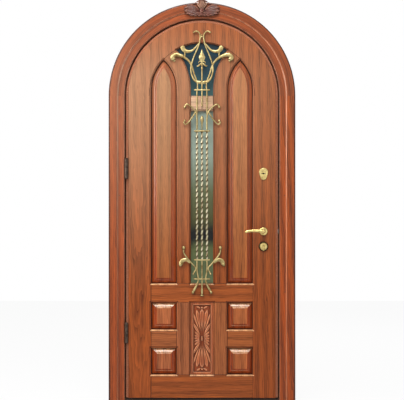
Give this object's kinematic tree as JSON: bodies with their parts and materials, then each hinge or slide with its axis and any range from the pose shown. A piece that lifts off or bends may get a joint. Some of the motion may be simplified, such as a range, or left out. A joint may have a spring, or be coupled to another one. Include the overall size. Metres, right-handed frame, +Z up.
{
  "type": "arched entrance door",
  "caption": "Arched steel entrance door in its frame: oak-clad swinging leaf with raised panels, narrow glazed lights behind a forged scroll grille, carved keystone, lever, latch and deadbolts.",
  "frame": {"origin": "middle of the threshold's underside, at the middle of the frame's depth", "axes": "+X to the right seen from outside, +Y into the house, +Z up; the outside faces -Y"},
  "size_m": [1.09, 0.2423, 2.3605],
  "materials": {
    "oak": "glossy varnish over oak",
    "coated_steel": "mottled dark copper powder coat",
    "plain_steel": "grey primer",
    "bright_steel": "satin",
    "hinge_steel": "dark powder coat, worn on the knuckles",
    "forged_gilt": "hammered iron, champagne gilt paint",
    "gilt_brass": "polished, lacquered",
    "seal": "matt",
    "insulation": "mineral wool",
    "glass": "clear, dark behind",
    "spacer": "satin"
  },
  "bodies": {
    "frame": {"jamb_hinge_side": "coated_steel", "jamb_lock_side": "coated_steel", "frame_head": "coated_steel", "threshold": "coated_steel", "wall_lugs": "plain_steel", "architrave_left": "oak", "architrave_right": "oak", "architrave_arch": "oak", "keystone": "oak", "door_seal": "seal", "strike_plates": "bright_steel", "hinge_frame_halves": "hinge_steel", "hinge_pins": "hinge_steel"},
    "leaf": {"stile_left": "oak", "stile_right": "oak", "arched_head": "oak", "mullion_left": "oak", "mullion_right": "oak", "lower_mullion_left": "oak", "lower_mullion_right": "oak", "transom": "oak", "mid_rail": "oak", "bottom_rail": "oak", "cross_rail_left": "oak", "cross_rail_right": "oak", "tall_panel_left": "oak", "tall_panel_right": "oak", "upper_square_left": "oak", "upper_square_right": "oak", "lower_square_left": "oak", "lower_square_right": "oak", "carved_panel": "oak", "inner_panel": "oak", "leaf_skin": "coated_steel", "leaf_back_sheet": "coated_steel", "leaf_ribs": "plain_steel", "window_linings": "plain_steel", "main_lock_case": "bright_steel", "upper_lock_case": "bright_steel", "hinge_leaf_halves": "hinge_steel", "grille_crown": "forged_gilt", "grille_scrolls": "forged_gilt", "grille_twisted_bars": "forged_gilt", "grille_foot": "forged_gilt", "lock_cylinder": "gilt_brass", "lever_rose": "gilt_brass", "cylinder_escutcheon": "gilt_brass", "key_escutcheon": "gilt_brass", "inner_escutcheons": "gilt_brass", "insulation": "insulation", "upper_panes": "glass", "lower_panes": "glass", "pane_spacers": "spacer"},
    "handle": {"lever_outer": "gilt_brass", "lever_inner": "gilt_brass", "spindle": "bright_steel"},
    "latch": {"latch_bolt": "bright_steel"},
    "thumb": {"thumbturn": "gilt_brass"},
    "main_bolts": {"main_deadbolts": "bright_steel"},
    "upper_bolts": {"upper_deadbolts": "bright_steel"}
  },
  "joints": [
    {"name": "door_swing", "type": "hinge", "parent": "frame", "child": "leaf", "pos_m": [-0.442, -0.077, 0.886], "axis": [0, 0, -1], "range_deg": [0, 150]},
    {"name": "lever_turn", "type": "hinge", "parent": "leaf", "child": "handle", "pos_m": [0.359, -0.03, 1], "axis": [0, -1, 0], "range_deg": [0, 40], "stiffness_Nm_per_rad": 1.2, "springref_deg": -28.65},
    {"name": "latch_slide", "type": "slide", "parent": "leaf", "child": "latch", "axis": [-1, 0, 0], "range_m": [0, 0.012]},
    {"name": "thumb_turn", "type": "hinge", "parent": "leaf", "child": "thumb", "pos_m": [0.359, 0.03, 0.912], "axis": [0, 1, 0], "range_deg": [0, 360]},
    {"name": "main_bolt_slide", "type": "slide", "parent": "leaf", "child": "main_bolts", "axis": [1, 0, 0], "range_m": [0, 0.02]},
    {"name": "upper_bolt_slide", "type": "slide", "parent": "leaf", "child": "upper_bolts", "axis": [1, 0, 0], "range_m": [0, 0.02]}
  ],
  "couplings": [
    {"joint": "latch_slide", "follows": "lever_turn", "m_per_rad": 0.01718},
    {"joint": "thumb_turn", "follows": "main_bolt_slide", "rad_per_m": 314.16}
  ]
}
